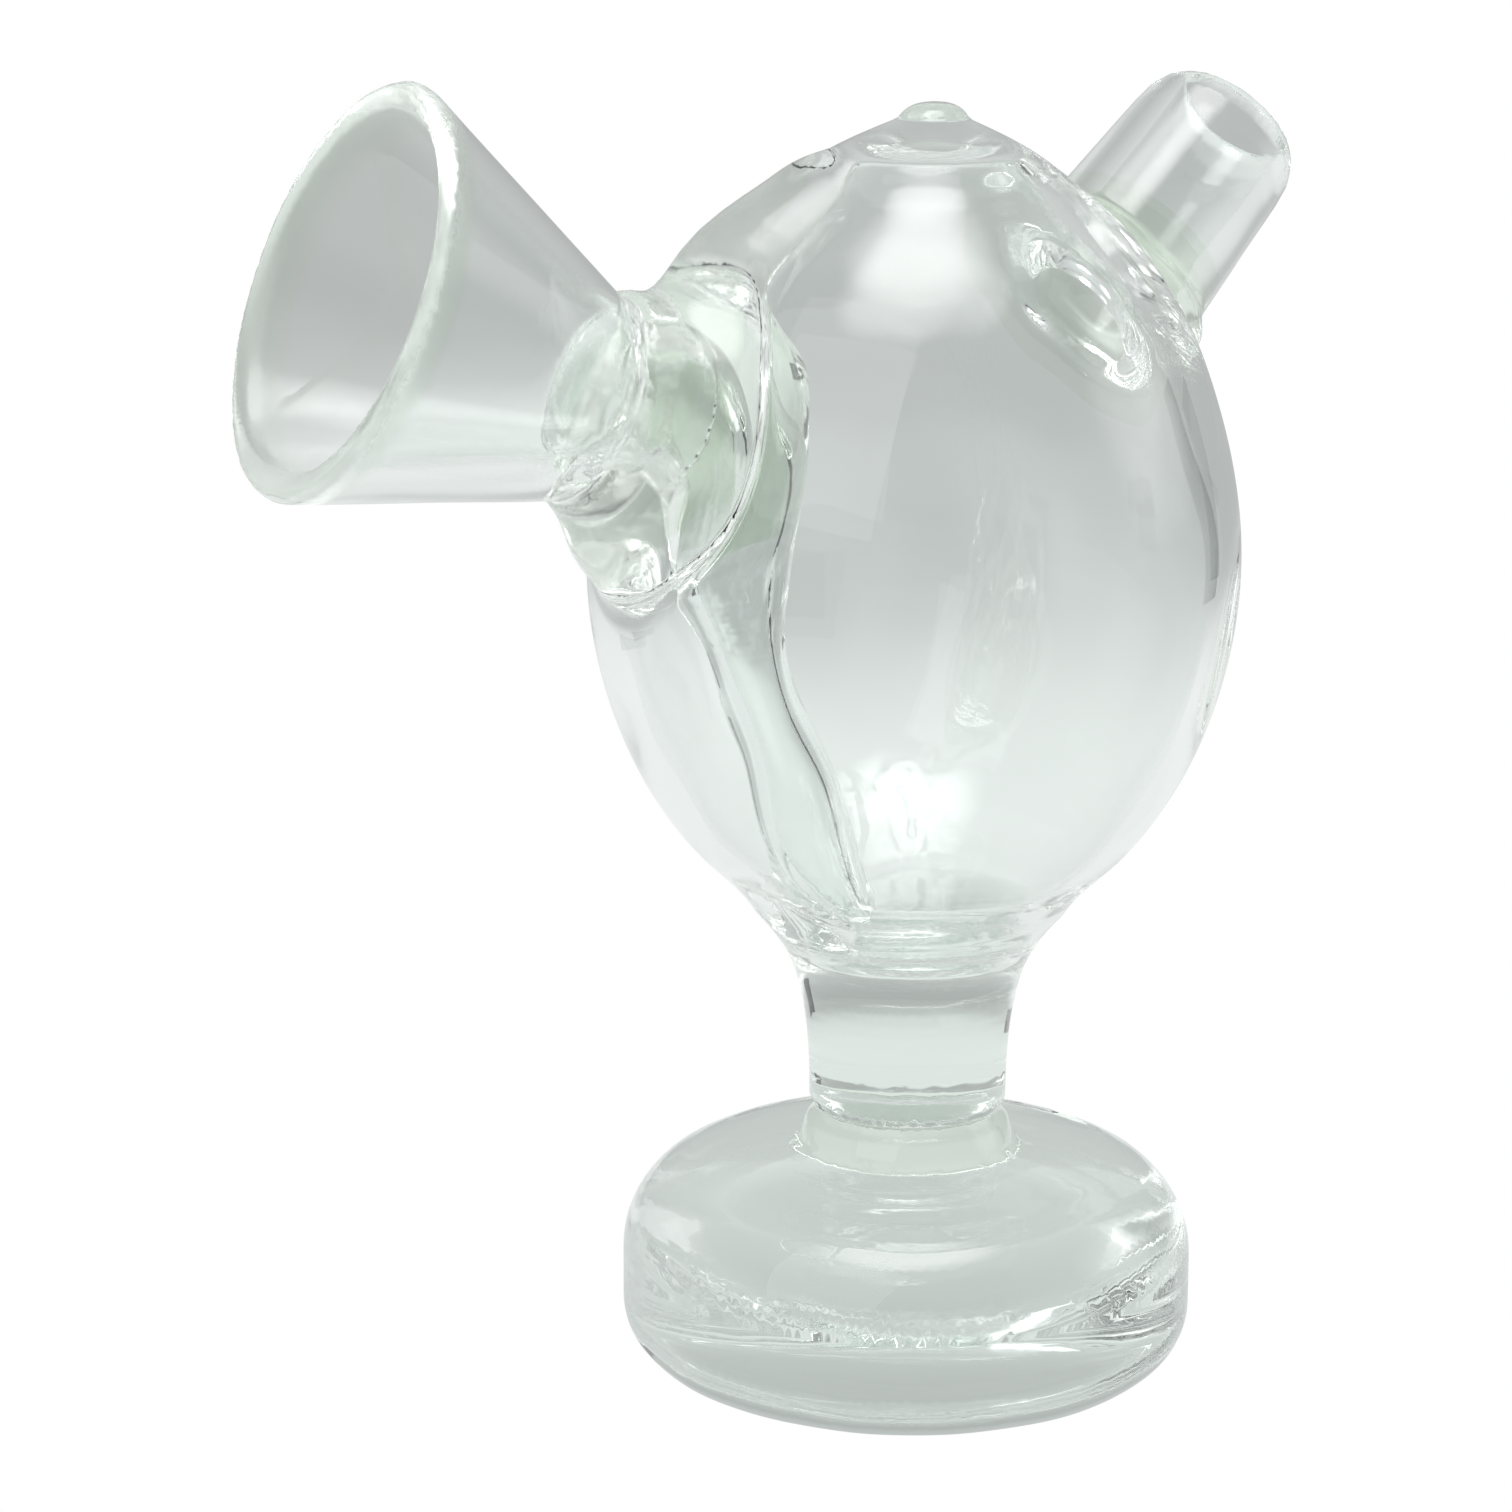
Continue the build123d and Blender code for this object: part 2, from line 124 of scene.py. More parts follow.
# The elbow and the heel stop this far below the small end of the funnel, inside the collar.
ROOT_BELOW_FUNNEL = 1.5
BEAD = [(13.4, 68.7), (10.7, 72.0), (6.0, 74.9)]
BEAD_RADIUS = 6.0
TONGUE = np.array((-20.2, 0.0, 58.6))
TONGUE_RADIUS = 4.4

# A groove runs round the stem above its weld: depth below the stem's lower end, distance from Z, radius.
GROOVE_DROP, GROOVE_AWAY, GROOVE_RADIUS = 0.2, 6.95, 0.75
# The weld's glass ends in a thin uneven edge on the foot.
SKIRT_AWAY, SKIRT_HALF_HEIGHT = 7.2, 0.3
# The hollow of the body ends in a round dish in the thick floor, as (height, radius).
DISH = [(28.3, 0.0), (28.35, 2.6), (28.6, 3.9), (29.1, 4.7), (29.7, 5.1), (29.85, 6.6), (30.2, 7.2),
        (31.4, 7.8), (32.4, 8.3), (32.4, 0.0)]
DISH_ASIDE = 0.3
# The blown body's point leans a little to one side.
LEAN, LEAN_FROM, LEAN_REACH, LEAN_WAY = 1.1, 64.0, 30.0, (0.88, -0.47)

# How softly the parts run into each other.
SKIRT_FILLET, GROOVE_FILLET, DISH_FILLET = 0.3, 0.2, 0.4
COLLAR_FILLET, TONGUE_FILLET, FUNNEL_FILLET, BEAD_FILLET = 0.5, 1.5, 3.2, 1.0
MOUTH_FILLET, RING_FILLET, WALL_FILLET = 1.8, 1.3, 0.4
TUBE_END_FILLET, ELBOW_FILLET, HEEL_FILLET, ROOT_FILLET = 0.8, 1.5, 2.0, 2.8
HOLLOW_FILLET, OPENING_FILLET = 0.1, 0.5


# ---- Signed distance tools ---------------------------------------------------------------------------
PROFILE_STEP = 0.1
FAR_AWAY = 1e3


def smooth_line(points, steps):
    """Points on a Catmull-Rom curve through the given ones."""
    points = np.array(points, float)
    padded = np.vstack((2 * points[0] - points[1], points, 2 * points[-1] - points[-2]))
    line = []
    for i in range(1, len(padded) - 2):
        a, b, c, d = padded[i - 1:i + 3]
        t = np.arange(steps)[:, None] / steps
        line.append(0.5 * (2 * b + (c - a) * t + (2 * a - 5 * b + 4 * c - d) * t ** 2
                           + (3 * b - a - 3 * c + d) * t ** 3))
    return np.vstack(line + [padded[-2:-1]])


class Outline:
    """Signed distance to a closed outline in (along, radius), read from a table, negative inside."""

    def __init__(self, points, margin=4.0):
        points = np.array(points, float)
        self.low = np.array((points[:, 0].min() - margin, -1.0))
        high = np.array((points[:, 0].max() + margin, points[:, 1].max() + margin))
        self.size = np.ceil((high - self.low) / PROFILE_STEP).astype(int) + 1
        a = self.low[0] + PROFILE_STEP * np.arange(self.size[0])
        r = self.low[1] + PROFILE_STEP * np.arange(self.size[1])
        self.table = np.empty(self.size)
        start = points
        run = np.roll(points, -1, axis=0) - start
        keep = (run ** 2).sum(1) > 0
        start, run = start[keep], run[keep]
        on_axis = (start[:, 1] == 0) & (run[:, 1] == 0)
        for i, along in enumerate(a):
            dx = along - start[:, 0]
            dy = np.abs(r)[:, None] - start[:, 1]
            t = np.clip((dx * run[:, 0] + dy * run[:, 1]) / (run ** 2).sum(1), 0, 1)
            gap = np.hypot(dx - t * run[:, 0], dy - t * run[:, 1])
            gap[:, on_axis] = FAR_AWAY
            crossed = (start[:, 0] > along) != (start[:, 0] + run[:, 0] > along)
            at = start[:, 1] + run[:, 1] * dx / np.where(run[:, 0] == 0, 1e-9, run[:, 0])
            inside = (crossed & (np.abs(r)[:, None] < at)).sum(1) % 2
            self.table[i] = gap.min(1) * np.where(inside, -1, 1)

    def __call__(self, along, radius, cubic=False):
        x = (along - self.low[0]) / PROFILE_STEP
        y = (radius - self.low[1]) / PROFILE_STEP
        cx = np.clip(x, 1, self.size[0] - 3.001)
        cy = np.clip(y, 1, self.size[1] - 3.001)
        beyond = np.hypot(x - cx, y - cy) * PROFILE_STEP
        i, j = cx.astype(int), cy.astype(int)
        u, v = cx - i, cy - j
        if not cubic:
            t = self.table
            value = ((1 - u) * ((1 - v) * t[i, j] + v * t[i, j + 1])
                     + u * ((1 - v) * t[i + 1, j] + v * t[i + 1, j + 1]))
            return value + beyond
        value = 0.0
        for k, wu in zip((-1, 0, 1, 2), bspline(u)):
            for m, wv in zip((-1, 0, 1, 2), bspline(v)):
                value = value + wu * wv * self.table[i + k, j + m]
        return value + beyond


def bspline(t):
    """Weights of the cubic B-spline, which is smooth enough for normals."""
    return ((1 - t) ** 3 / 6, (3 * t ** 3 - 6 * t ** 2 + 4) / 6,
            (3 * t * (1 + t - t * t) + 1) / 6, t ** 3 / 6)


def smin(a, b, k):
    """Smooth union of two solids, with a fillet of about k."""
    h = np.maximum(k - np.abs(a - b), 0.0) / k
    return np.minimum(a, b) - h * h * k * 0.25


def smax(a, b, k):
    """Smooth intersection of two solids, with a fillet of about k."""
    return -smin(-a, -b, k)


def window(x, low, high, soft):
    """1 between low and high, 0 outside, with soft edges."""
    rise = np.clip((x - low) / soft + 0.5, 0, 1)
    fall = np.clip((high - x) / soft + 0.5, 0, 1)
    return rise * rise * (3 - 2 * rise) * fall * fall * (3 - 2 * fall)


def waves(p, length, seed, stretch=(1.0, 1.0, 1.0), count=6):
    """A smooth uneven pattern of about that wavelength, from -1 to 1."""
    rng = np.random.default_rng(seed)
    q = p * np.array(stretch)
    total = 0.0
    for _ in range(count):
        d = rng.normal(size=3)
        d *= 2 * math.pi / (length * rng.uniform(0.7, 1.5) * np.linalg.norm(d))
        total = total + np.sin(q @ d + rng.uniform(0, 2 * math.pi))
    return total / math.sqrt(count * 2)


def chain(p, points, radii):
    """Distance to a tube whose radius changes along a chain of points."""
    best = np.full(len(p), FAR_AWAY)
    for a, b, ra, rb in zip(points, points[1:], radii, radii[1:]):
        ab = b - a
        t = np.clip((p - a) @ ab / (ab @ ab), 0, 1)
        d = np.sqrt(((p - a - t[:, None] * ab) ** 2).sum(1)) - (ra + t * (rb - ra))
        np.minimum(best, d, out=best)
    return best


def ball(p, middle, radius):
    """Distance to a ball."""
    return np.sqrt(((p - middle) ** 2).sum(1)) - radius


def along_axis(p, base, direction, drop=0.0):
    """Distance along an axis and from it. The funnel's axis bends down by the drop towards its small end."""
    q = p - base
    along = q @ direction
    if drop:
        q = q + np.clip(1 - along / LIP_AT, 0, 1)[:, None] * drop * FUNNEL_UP
    away = np.sqrt(np.maximum((q ** 2).sum(1) - (q @ direction) ** 2, 0))
    return along, away


# ---- Outlines from the CAD nodes ---------------------------------------------------------------------
OUTLINE_STEP = 0.1
REACH_OUT = 60.0


def tree(names):
    """The named CAD nodes as one search tree, in millimetres."""
    vertices, faces = [], []
    for name in names:
        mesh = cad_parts[name].data
        offset = len(vertices)
        vertices += [v.co / MM for v in mesh.vertices]
        faces += [[i + offset for i in polygon.vertices] for polygon in mesh.polygons]
    return BVHTree.FromPolygons(vertices, faces)


def revolved_outline(names, low, high, outside):
    """(height, radius) of the body of revolution, found on the CAD in a plane clear of both branches."""
    bodies = tree(names)
    found = []
    for z in np.arange(low + 0.02, high, OUTLINE_STEP):
        start = Vector((0, -REACH_OUT if outside else 0, z))
        hit = bodies.ray_cast(start, Vector((0, 1 if outside else -1, 0)))
        if hit[0] is not None:
            found.append((z, abs(hit[0].y)))
    return found


def fair(outline, reach=2.2):
    """The same outline without the CAD mesh's facets on the blown body, where they would show as bands."""
    z, r = np.array(outline).T
    near = np.exp(-((z[:, None] - z) / reach) ** 2)
    blend = window(z, FLOOR_TOP + 5.0, BODY_TOP - 9.0, 6.0)
    return list(zip(z, r + blend * (near @ r / near.sum(1) - r)))


solids = ["foot", "stem_weld", "stem", "chamber_floor", "chamber", "apex_bead"]
outside = fair(revolved_outline(solids, 0.0, APEX_TOP, True))
inside = fair(revolved_outline(["chamber", "chamber_floor"], FLOOR_TOP - 0.85, BODY_TOP - 2.45, False))
BODY_OUT = Outline([(0.0, 0.0), (0.0, outside[0][1] - 0.1)] + outside + [(APEX_TOP, 0.0)])
BODY_IN = Outline([(inside[0][0] - 0.05, 0.0)] + inside + [(inside[-1][0] + 0.05, 0.0)])
DISH_IN = Outline(DISH)
CONE_OUT = Outline(CONE_OUTSIDE)
CONE_IN = Outline(CONE_INSIDE)
COLLAR_OUT = Outline(COLLAR_OUTSIDE)
MOUTH_OUT = Outline(MOUTH_OUTSIDE)
MOUTH_IN = Outline(MOUTH_INSIDE)
tube_line = smooth_line(TUBE, 10)
TUBE_POINTS = np.column_stack((-tube_line[:, 0], np.zeros(len(tube_line)), tube_line[:, 1]))
TUBE_OUTER, TUBE_INNER = tube_line[:, 2], tube_line[:, 3]
TUBE_END = TUBE_POINTS[-1]
TUBE_END_DIR = (TUBE_END - TUBE_POINTS[-5]) / np.linalg.norm(TUBE_END - TUBE_POINTS[-5])
BEAD_POINTS = np.array([(-r, 0.0, z) for r, z in smooth_line(BEAD, 4)])


# ---- The glass, as signed distances ------------------------------------------------------------------
def foot_stem_and_body(p, cubic):
    """The body of revolution from the foot to the apex, and the hollow inside it."""
    x, y, z = p.T
    lean = LEAN * (np.clip(z - LEAN_FROM, 0, LEAN_REACH) / (APEX_TOP - LEAN_FROM)) ** 2
    r = np.hypot(x - lean * LEAN_WAY[0], y - lean * LEAN_WAY[1])
    body = BODY_OUT(z, r, cubic)
    cavity = BODY_IN(z, r, cubic)

    # The pressed foot: faint ripples round the top, and an uneven underside.
    foot = window(z, -5, 14.0, 2.0)
    ripple = np.sin(r * 2.6 + 1.6 * waves(p, 16.0, 3)) * window(r, 8.5, 16.5, 3.0)
    body = body + foot * window(z, 9.0, 20.0, 3.0) * (0.022 * ripple + 0.02 * waves(p, 9.0, 4))
    body = body + foot * window(z, -5, 3.0, 3.0) * 0.035 * (1 + waves(p, 8.0, 5))
    body = body + foot * 0.02 * waves(p, 14.0, 6)
    groove = GROOVE_RADIUS - np.hypot(z - RING_TOP + GROOVE_DROP, r - GROOVE_AWAY)
    body = smax(body, groove, GROOVE_FILLET)
    angle = np.arctan2(y, x)
    edge = SKIRT_AWAY + 0.25 * np.sin(2 * angle + 2.4) + 0.2 * np.sin(5 * angle + 0.6)
    skirt = np.maximum(np.abs(z - FOOT_TOP) - SKIRT_HALF_HEIGHT, r - edge)
    body = smin(body, skirt, SKIRT_FILLET)

    # The blown wall: long soft waves, stronger on the inside.
    body = body + window(z, 34, 81, 6.0) * 0.035 * waves(p, 9.0, 7, (1, 1, 0.45))
    swell = 0.13 * waves(p, 17.0, 8) + 0.05 * waves(p, 6.0, 9, (1, 1, 0.35))
    cavity = cavity + window(z, 33, 79, 4.0) * swell
    cavity = smin(cavity, DISH_IN(z, np.hypot(x - DISH_ASIDE, y), cubic), DISH_FILLET)
    return body, cavity


def funnel_side(p, along, cubic):
    """The outer surface of the cone, its streaky collar and the tongue of glass under the collar."""
    away = along_axis(p, FUNNEL_BASE, FUNNEL_DIR, FUNNEL_DROP)[1]
    cone = CONE_OUT(along, away, cubic) + window(along, 2.0, 19.0, 2.0) * 0.03 * waves(p, 8.0, 13)
    collar = COLLAR_OUT(along, away, cubic)
    wrap = np.sin(along * 2.2 + 2.0 * waves(p, 7.0, 11)) * 0.02 + 0.05 * waves(p, 5.0, 12)
    collar = collar + wrap * window(along, -8.0, 1.0, 1.6)
    tongue = ball(p, TONGUE, TONGUE_RADIUS) + 0.05 * waves(p, 5.0, 20)
    return smin(smin(cone, collar, COLLAR_FILLET), tongue, TONGUE_FILLET)


def shoulder_filler(p):
    """The streaky glass laid on the shoulder between the collar and the apex."""
    bead = chain(p, BEAD_POINTS, np.full(len(BEAD_POINTS), BEAD_RADIUS))
    return bead + 0.15 * waves(p, 3.8, 14, (0.45, 1.0, 0.45))


def with_mouthpiece(outer, p, along, away, cubic):
    """The outer surface with the mouthpiece and the ring of glass round its foot."""
    mouth = MOUTH_OUT(along, away, cubic)
    mouth = mouth + window(along, 5, 20, 2.0) * 0.03 * waves(p, 7.0, 15)
    ring = np.hypot(along - RING_ALONG - 0.5 * waves(p, 8.0, 16), away - RING_AWAY) - RING_RADIUS
    return smin(smin(outer, mouth, MOUTH_FILLET), ring, RING_FILLET)


def inner_tube(p, along_funnel):
    """The tube inside the body with its elbow and heel as a solid, and its bore."""
    near = (np.abs(p - TUBE_BOX_MIDDLE) - TUBE_BOX_HALF).max(1)
    tube = near.clip(TUBE_BOX_MARGIN)
    bore = near.clip(TUBE_BOX_MARGIN)
    close = near < TUBE_BOX_MARGIN
    tube[close] = chain(p[close], TUBE_POINTS, TUBE_OUTER)
    bore[close] = chain(p[close], TUBE_POINTS, TUBE_INNER)
    past_end = (p - TUBE_END) @ TUBE_END_DIR
    tube = smax(tube, past_end + 0.25 * waves(p, 3.0, 17), TUBE_END_FILLET)
    tube = tube + 0.03 * waves(p, 7.0, 18)
    tube = smin(tube, ball(p, ELBOW, ELBOW_RADIUS), ELBOW_FILLET)
    heel = ball(p, HEEL, HEEL_RADIUS) + 0.12 * waves(p, 6.0, 19)
    limit = along_funnel + ROOT_BELOW_FUNNEL
    return smin(np.maximum(tube, limit), np.maximum(heel, limit), HEEL_FILLET), bore


def glass(p, cubic=False):
    """The signed distance to the glass, in millimetres, negative inside it."""
    body, cavity = foot_stem_and_body(p, cubic)
    along, hollow_away = along_axis(p, FUNNEL_BASE, FUNNEL_DIR, HOLLOW_DROP)
    mouth_along, mouth_away = along_axis(p, MOUTH_BASE, MOUTH_DIR)

    outer = smin(body, funnel_side(p, along, cubic), FUNNEL_FILLET)
    outer = smin(outer, shoulder_filler(p), BEAD_FILLET)
    outer = with_mouthpiece(outer, p, mouth_along, mouth_away, cubic)
    wall = smax(outer, -cavity, WALL_FILLET)
    tube, bore = inner_tube(p, along)
    solid = smin(wall, tube, ROOT_FILLET)

    hollow = np.minimum(CONE_IN(along, hollow_away, cubic), bore)
    hollow = smin(hollow, MOUTH_IN(mouth_along, mouth_away, cubic), HOLLOW_FILLET)
    return smax(solid, -hollow, OPENING_FILLET)


def gradient(p, h=0.06):
    """Direction in which the distance grows."""
    g = np.empty_like(p)
    for k in range(3):
        step = np.zeros(3)
        step[k] = h
        g[:, k] = glass(p + step, True) - glass(p - step, True)
    return g / (2 * h)


# ---- One mesh of the whole glass ---------------------------------------------------------------------
PITCH = 0.42
COARSE = 4
BOX_MARGIN = 2.5
BAND_MARGIN = 1.0
CHUNKS = 12


def fused_mesh():
    """Points and triangles of the whole glass. The field is fine only near the surface."""
    low = np.array(cad_low) / MM - BOX_MARGIN
    high = np.array(cad_high) / MM + BOX_MARGIN
    blocks = np.ceil((high - low) / (PITCH * COARSE)).astype(int)
    axes = [low[k] + PITCH * (np.arange(blocks[k]) * COARSE + (COARSE - 1) / 2) for k in range(3)]
    centres = np.stack(np.meshgrid(*axes, indexing="ij"), -1).reshape(-1, 3)
    field = glass(centres).reshape(blocks)
    band = np.abs(field) < PITCH * COARSE * 0.87 + BAND_MARGIN
    for k in range(3):
        band = np.repeat(band, COARSE, axis=k)
        field = np.repeat(field, COARSE, axis=k)
    cells = np.argwhere(band)
    field = field.astype(np.float32)
    values = [glass(low + PITCH * part) for part in np.array_split(cells, CHUNKS)]
    field[tuple(cells.T)] = np.concatenate(values)
    grid = openvdb.FloatGrid(background=3.0)
    grid.copyFromArray(field / PITCH)
    points, quads = grid.convertToQuads()
    points = low + PITCH * np.array(points, float)
    triangles = np.vstack((quads[:, [0, 1, 2]], quads[:, [0, 2, 3]])).astype(int)
    a, b, c = (points[triangles[:, i]] for i in range(3))
    if (a * np.cross(b, c)).sum() < 0:
        triangles = triangles[:, ::-1]
    return points, triangles


def settle(points, triangles):
    """Spreads the points evenly over the surface and puts them on it."""
    edges = np.vstack((triangles[:, [0, 1]], triangles[:, [1, 2]], triangles[:, [2, 0]]))
    edges = np.unique(np.sort(edges, axis=1), axis=0)
    count = np.bincount(edges.reshape(-1), minlength=len(points))[:, None]
    for step in range(3):
        g = gradient(points)
        steep = np.maximum((g ** 2).sum(1, keepdims=True), 0.25)
        move = glass(points, True)[:, None] * g / steep
        points = points - np.clip(move, -PITCH, PITCH)
        if step < 2:
            mean = np.zeros_like(points)
            for k in range(3):
                mean[:, k] = (np.bincount(edges[:, 0], points[edges[:, 1], k], len(points))
                              + np.bincount(edges[:, 1], points[edges[:, 0], k], len(points)))
            shift = mean / count - points
            normal = g / np.sqrt(steep)
            points = points + 0.5 * (shift - (shift * normal).sum(1, keepdims=True) * normal)
    return points


# ---- Cutting it into pieces --------------------------------------------------------------------------
CAP_STEP = 1.4


def cut(solid, field, direction):
    """Two closed solids: where the field is negative, and the rest. The cut is filled on both."""
    points, triangles, cap = solid
    side = field(points)
    side = np.where(np.abs(side) < 1e-5, 1e-5, side)
    above = side > 0
    count = above[triangles].sum(1)
    mixed = (count == 1) | (count == 2)
    whole_low, whole_high = count == 0, count == 3
    t = triangles[mixed]
    odd_above = count[mixed] == 1
    alone = np.argmax(above[t] == odd_above[:, None], axis=1)
    rows = np.arange(len(t))
    a, b, c = t[rows, alone], t[rows, (alone + 1) % 3], t[rows, (alone + 2) % 3]
    crossing = np.sort(np.vstack((np.column_stack((a, b)), np.column_stack((a, c)))), axis=1)
    keys, where = np.unique(crossing, axis=0, return_inverse=True)
    where = where.reshape(-1)
    share = side[keys[:, 0]] / (side[keys[:, 0]] - side[keys[:, 1]])
    fresh = points[keys[:, 0]] + share[:, None] * (points[keys[:, 1]] - points[keys[:, 0]])
    ab, ac = len(points) + where[:len(t)], len(points) + where[len(t):]
    every = np.vstack((points, fresh))
    tips = np.column_stack((a, ab, ac))
    rest = np.vstack((np.column_stack((ab, b, c)), np.column_stack((ab, c, ac))))
    cap_mixed = cap[mixed]
    fill, extra = fill_cut(fresh, where[:len(t)], where[len(t):], field, direction)
    fill = np.where(fill < len(fresh), fill + len(points), fill - len(fresh) + len(every))
    every = np.vstack((every, extra))
    sides = []
    for high in (False, True):
        whole = whole_high if high else whole_low
        tip = odd_above == high
        rest_here = np.tile(~tip, 2)
        faces = np.vstack((triangles[whole], tips[tip], rest[rest_here], fill[:, ::-1] if high else fill))
        caps = np.concatenate((cap[whole], cap_mixed[tip], np.tile(cap_mixed, 2)[rest_here],
                               np.ones(len(fill), bool)))
        used, faces = np.unique(faces.reshape(-1), return_inverse=True)
        sides.append((every[used], faces.reshape(-1, 3), caps))
    return sides


def fill_cut(fresh, starts, ends, field, direction):
    """Triangles across the cut, seen along the direction, with added points on the field's surface."""
    direction = direction / np.linalg.norm(direction)
    u = np.cross(direction, (0.31, 0.87, 0.38))
    u = u / np.linalg.norm(u)
    v = np.cross(direction, u)
    flat = np.column_stack((fresh @ u, fresh @ v))
    low, high = flat.min(0), flat.max(0)
    a, b = (np.arange(low[k] + CAP_STEP / 2, high[k], CAP_STEP) for k in range(2))
    lattice = np.stack(np.meshgrid(a, b, indexing="ij"), -1).reshape(-1, 2)
    p, q = flat[starts], flat[ends]
    run = q - p
    square = np.maximum((run ** 2).sum(1), 1e-12)
    keep = []
    for spot in lattice:
        t = np.clip(((spot - p) * run).sum(1) / square, 0, 1)
        gap = np.hypot(*(spot - p - t[:, None] * run).T).min()
        keep.append(gap > CAP_STEP * 0.5 and odd_inside(spot, p, q))
    lattice = lattice[np.array(keep, bool)] if len(lattice) else lattice
    corners = np.vstack((flat, lattice))
    edges = [(int(i), int(j)) for i, j in zip(starts, ends) if i != j]
    verts, _, faces, originals, _, _ = delaunay_2d_cdt([Vector(s) for s in corners], edges, [], 0, 1e-7)
    faces = np.array([f for f in faces if len(f) == 3], int)
    spots = np.array([tuple(s) for s in verts])
    source = np.array([o[0] if o else -1 for o in originals])
    centre = spots[faces].mean(1)
    keep = np.array([odd_inside(s, p, q) for s in centre], bool) & (source[faces] >= 0).all(1)
    faces = source[faces[keep]]
    a, b, c = (corners[faces[:, i]] for i in range(3))
    turn = (b[:, 0] - a[:, 0]) * (c[:, 1] - a[:, 1]) - (b[:, 1] - a[:, 1]) * (c[:, 0] - a[:, 0])
    faces[turn < 0] = faces[turn < 0][:, ::-1]
    extra = lattice[:, :1] * u + lattice[:, 1:] * v + (fresh @ direction).mean() * direction
    for _ in range(12):
        value = field(extra)
        slope = (field(extra + 0.02 * direction) - value) / 0.02
        slope = np.where(np.abs(slope) < 0.2, 0.2, slope)
        extra = extra - np.clip(value / slope, -2, 2)[:, None] * direction
    return faces, extra


def odd_inside(spot, p, q):
    """Whether the spot lies inside the loops of edges from p to q."""
    crossed = (p[:, 1] > spot[1]) != (q[:, 1] > spot[1])
    p, q = p[crossed], q[crossed]
    at = p[:, 0] + (q[:, 0] - p[:, 0]) * (spot[1] - p[:, 1]) / (q[:, 1] - p[:, 1])
    return (at > spot[0]).sum() % 2 == 1


def plane(point, normal):
    """A flat cut, as a field."""
    normal = np.array(normal, float) / np.linalg.norm(normal)
    return lambda p: (p - point) @ normal


def level(z):
    """A level cut, as a field."""
    return lambda p: p[:, 2] - z


def inside_the_wall(p):
    """Negative in the half of the hollow where the inner tube is, from a little off the wall."""
    return BODY_IN(p[:, 2], np.hypot(p[:, 0], p[:, 1])) + OFF_THE_WALL + 50 * (p[:, 0] > 0)


# Where the glass is parted, in millimetres. These are the joins of the CAD nodes.
COLLAR_LENGTH = 5.2
MOUTH_WELD_LENGTH = 7.0
RING_TILT = math.radians(33.0)
RING_DIR = math.cos(RING_TILT) * MOUTH_FLAT + math.sin(RING_TILT) * UP
RING_LOW = 16.3 * MOUTH_FLAT + 71.1 * UP - 1.9 * RING_DIR
BEAD_TILT = math.radians(40.0)
BEAD_DIR = np.array((-math.sin(BEAD_TILT), 0.0, math.cos(BEAD_TILT)))
BEAD_FROM_ORIGIN = 66.75
OFF_THE_WALL = 0.45
ROOT_LOW, ROOT_NORMAL = np.array((-13.5, 0, 57.5)), (-0.15, 0, 1)


def parted_glass():
    """The closed solid of each node, as (points, triangles, which triangles are cut faces)."""
    points, triangles = fused_mesh()
    rest = (settle(points, triangles), triangles, np.zeros(len(triangles), bool))
    found = {}
    levels = {"foot": FOOT_TOP, "stem_weld": RING_TOP, "stem": STEM_TOP, "chamber_floor": FLOOR_TOP}
    for name, z in levels.items():
        found[name], rest = cut(rest, level(z), UP)
    collar_low = FUNNEL_BASE - COLLAR_LENGTH * FUNNEL_DIR
    weld_high = MOUTH_BASE + MOUTH_WELD_LENGTH * MOUTH_DIR
    rest, found["funnel"] = cut(rest, plane(FUNNEL_BASE, FUNNEL_DIR), FUNNEL_DIR)
    rest, found["funnel_weld"] = cut(rest, plane(collar_low, FUNNEL_DIR), FUNNEL_DIR)
    rest, found["mouthpiece"] = cut(rest, plane(weld_high, MOUTH_DIR), MOUTH_DIR)
    rest, found["apex_bead"] = cut(rest, level(BODY_TOP), UP)
    rest, found["mouthpiece_weld"] = cut(rest, plane(RING_LOW, RING_DIR), RING_DIR)
    rest, found["shoulder_bead"] = cut(rest, lambda p: p @ BEAD_DIR - BEAD_FROM_ORIGIN, BEAD_DIR)
    inner, found["chamber"] = cut(rest, inside_the_wall, -FUNNEL_DIR * np.array((1, 1, 0)))
    found["downstem"], found["downstem_weld"] = cut(inner, plane(ROOT_LOW, ROOT_NORMAL), UP)
    return found


pieces = parted_glass()

# ---- Materials ---------------------------------------------------------------------------------------
# The fire-polished lip of the funnel is milky and faintly green. Some welds have a share of that all over.
RIM_TINT = (0.86, 0.915, 0.86)
RIM_ROUGH = 0.22
RIM_FROM, RIM_SOFT = 16.3, 1.4
MILKY = {"funnel_weld": 0.6, "shoulder_bead": 0.3, "mouthpiece_weld": 0.15, "downstem_weld": 0.15}
THICKEST = 10.0


def ramp(nodes, stops):
    """A colour ramp through (place, colour) stops."""
    node = nodes.new("ShaderNodeValToRGB")
    element = node.color_ramp.elements
    while len(element) < len(stops):
        element.new(0.5)
    for spot, (place, colour) in zip(element, stops):
        spot.position = place
        spot.color = (*colour, 1)
    return node


def noise(nodes, links, scale, detail, where, stretch=None):
    """A noise texture in the object's own frame, in metres."""
    place = where
    if stretch:
        mapping = nodes.new("ShaderNodeMapping")
        mapping.inputs["Scale"].default_value = stretch
        links.new(where, mapping.inputs["Vector"])
        place = mapping.outputs["Vector"]
    node = nodes.new("ShaderNodeTexNoise")
    node.inputs["Scale"].default_value = scale
    node.inputs["Detail"].default_value = detail
    links.new(place, node.inputs["Vector"])
    return node.outputs["Fac"]


def attribute(nodes, name):
    """A value stored at each point of the mesh."""
    node = nodes.new("ShaderNodeAttribute")
    node.attribute_name = name
    return node.outputs["Fac"]


